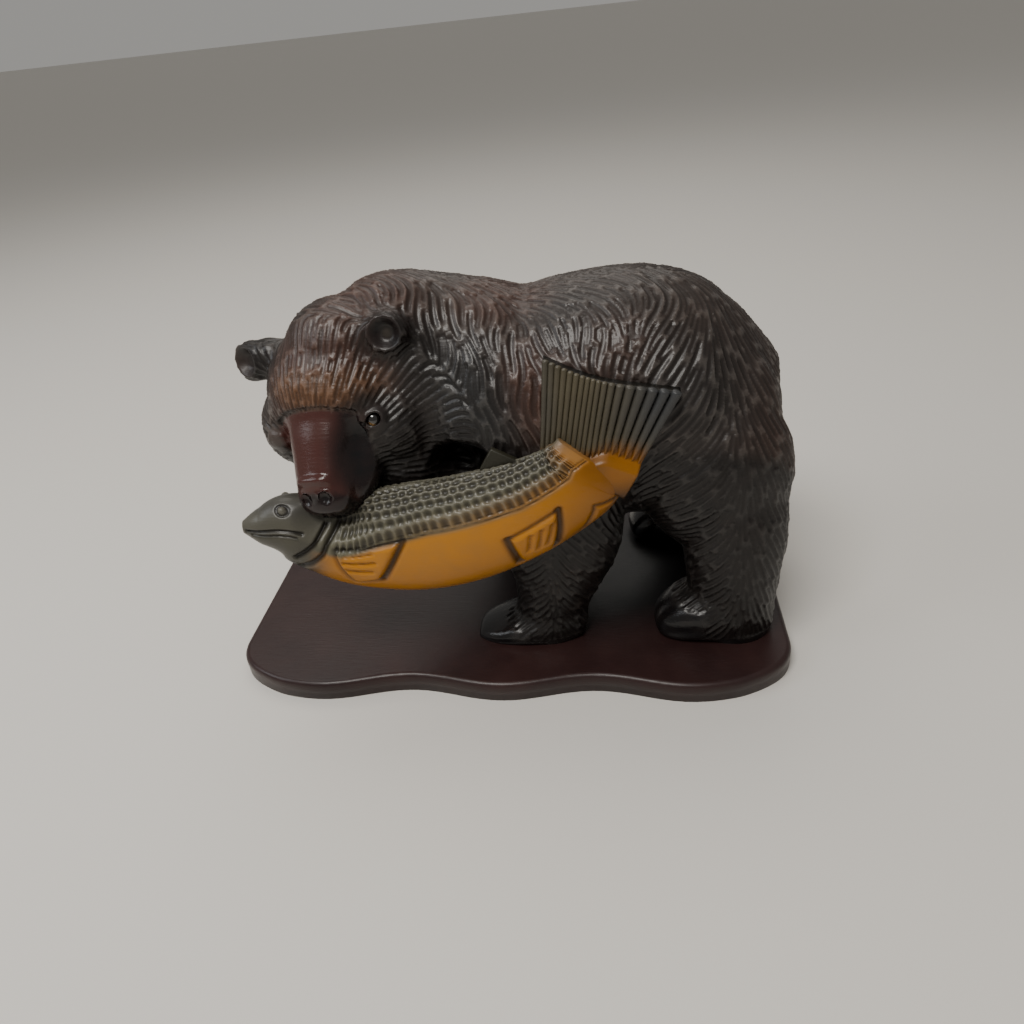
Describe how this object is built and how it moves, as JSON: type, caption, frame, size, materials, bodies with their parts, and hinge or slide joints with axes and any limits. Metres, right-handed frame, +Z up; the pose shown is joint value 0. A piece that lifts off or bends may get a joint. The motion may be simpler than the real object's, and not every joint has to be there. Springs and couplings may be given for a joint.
{
  "type": "carved wooden bear",
  "caption": "Carved and lacquered wooden bear standing on a thin wavy plinth, head turned to the side, with a salmon crosswise in its jaws.",
  "frame": {"origin": "middle of the plinth's flat underside", "axes": "+Z up, +X towards the bear's rump, -Y towards the side that the bear looks to, where the salmon is"},
  "size_m": [0.269, 0.154, 0.1801],
  "materials": {
    "lacquered_wood": "dark brown semi-gloss lacquer, airbrushed black, with an amber-bellied salmon",
    "eye_glass": "near-black polished glass with an amber tint"
  },
  "bodies": {
    "root": {"carved_bear": "lacquered_wood", "near_eye": "eye_glass", "far_eye": "eye_glass"}
  },
  "joints": []
}
